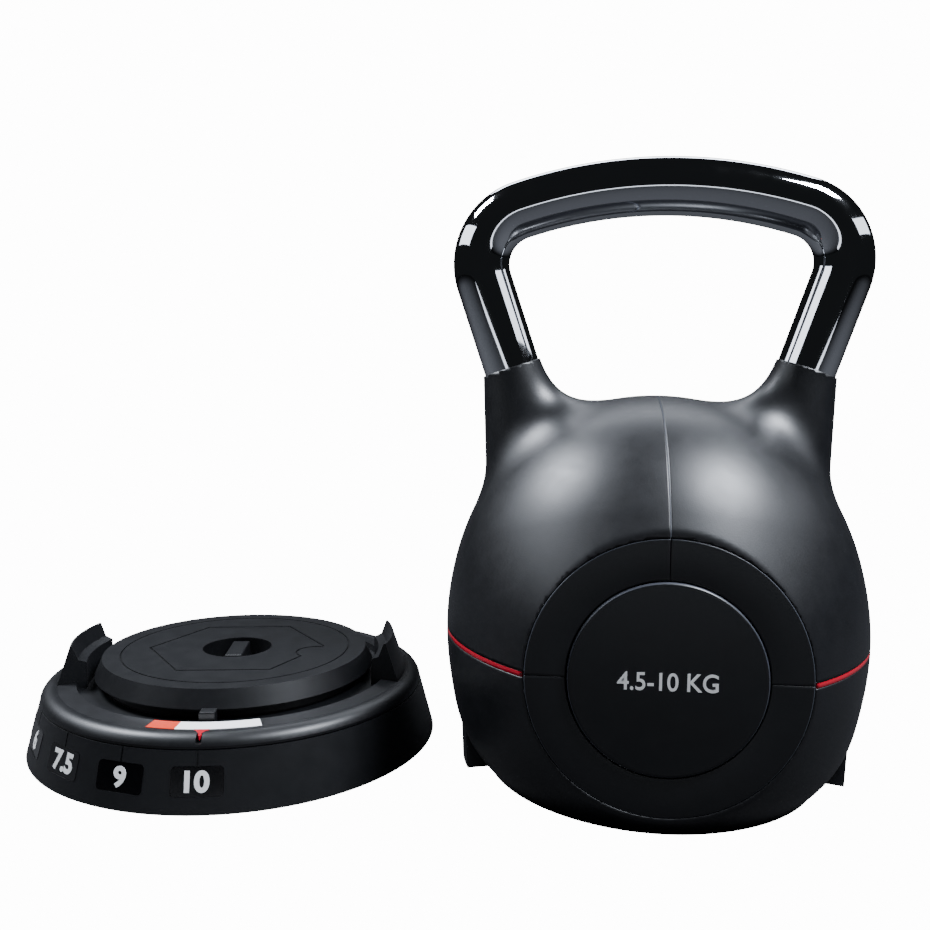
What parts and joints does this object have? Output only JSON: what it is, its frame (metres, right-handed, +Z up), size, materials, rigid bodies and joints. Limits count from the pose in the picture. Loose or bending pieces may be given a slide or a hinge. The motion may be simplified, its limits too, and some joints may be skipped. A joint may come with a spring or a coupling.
{
  "type": "adjustable kettlebell",
  "caption": "Adjustable kettlebell with a chromed tube handle, removable inner plates and a turning dial base that selects its weight.",
  "frame": {"origin": "on the floor, on the bell's vertical axis", "axes": "+Z up; the bell's front face looks along -Y; its handle runs along X; the dial base stands on the -X side, turned 9.3 degrees about Z"},
  "size_m": [0.4176, 0.2076, 0.292],
  "materials": {
    "shell_black": "fine grained moulded ABS",
    "cap_black": "smooth moulded ABS",
    "accent_red": "glossy moulded plastic",
    "chrome_plate": "chrome plated steel tube",
    "zinc_steel": "zinc plated steel",
    "iron_black": "black painted cast iron",
    "base_black": "satin moulded polypropylene",
    "window_black": "gloss black insert with white figures",
    "spindle_grey": "glass filled nylon",
    "bearing_nylon": "natural nylon",
    "bronze": "sintered bronze",
    "label_white": "printed paper label",
    "pad_rubber": "moulded rubber"
  },
  "bodies": {
    "base": {"number_ring": "base_black", "number_windows": "window_black", "base_cover": "base_black", "cover_screws": "zinc_steel", "rubber_pads": "pad_rubber", "platform": "base_black", "platform_screws": "zinc_steel", "selector_key": "base_black", "glide_ring": "bearing_nylon", "base_detent_spring": "zinc_steel", "base_detent_screw": "zinc_steel"},
    "turntable": {"turntable": "base_black", "pointer": "accent_red", "dial_label": "label_white"},
    "latch": {"latch_tab": "base_black"},
    "base_ball": {"base_detent_ball": "zinc_steel"},
    "bell": {"lower_shell": "shell_black", "upper_shell_left": "shell_black", "upper_shell_right": "shell_black", "accent_strips": "accent_red", "front_cap": "cap_black", "rear_cap": "cap_black", "front_clamp_plate": "zinc_steel", "rear_clamp_plate": "zinc_steel", "front_clamp_screws": "zinc_steel", "rear_clamp_screws": "zinc_steel", "handle": "chrome_plate", "handle_inserts": "zinc_steel", "handle_bolts": "zinc_steel", "yoke_plate": "zinc_steel", "yoke_screws": "zinc_steel", "top_weight": "iron_black", "weight_screws": "zinc_steel", "plate_1": "iron_black", "plate_2": "iron_black", "plate_3": "iron_black", "plate_4": "iron_black", "spindle_bush": "bronze", "spindle_detent_spring": "zinc_steel", "spindle_detent_screw": "zinc_steel"},
    "selector": {"selector_spindle": "spindle_grey", "spindle_washer": "zinc_steel", "spindle_clip": "zinc_steel"},
    "spindle_ball": {"spindle_detent_ball": "zinc_steel"}
  },
  "joints": [
    {"name": "bell_lift", "type": "slide", "parent": "base", "child": "bell", "axis": [0, 0, 1], "range_m": [0, 0.3]},
    {"name": "selector_turn", "type": "hinge", "parent": "bell", "child": "selector", "pos_m": [0, 0, 0.05], "axis": [0, 0, 1], "range_deg": [0, 81.2]},
    {"name": "spindle_detent", "type": "slide", "parent": "bell", "child": "spindle_ball", "axis": [0, 1, 0], "range_m": [0, 0.0012], "stiffness_N_per_m": 1000},
    {"name": "turntable_turn", "type": "hinge", "parent": "base", "child": "turntable", "pos_m": [-0.214, 0.0132, 0.03], "axis": [0, 0, 1], "range_deg": [-81.2, 0]},
    {"name": "latch_press", "type": "slide", "parent": "turntable", "child": "latch", "axis": [0, 0, -1], "range_m": [0, 0.003], "stiffness_N_per_m": 800},
    {"name": "base_detent", "type": "slide", "parent": "base", "child": "base_ball", "axis": [0.1616, -0.9869, 0], "range_m": [0, 0.0012], "stiffness_N_per_m": 1000}
  ]
}
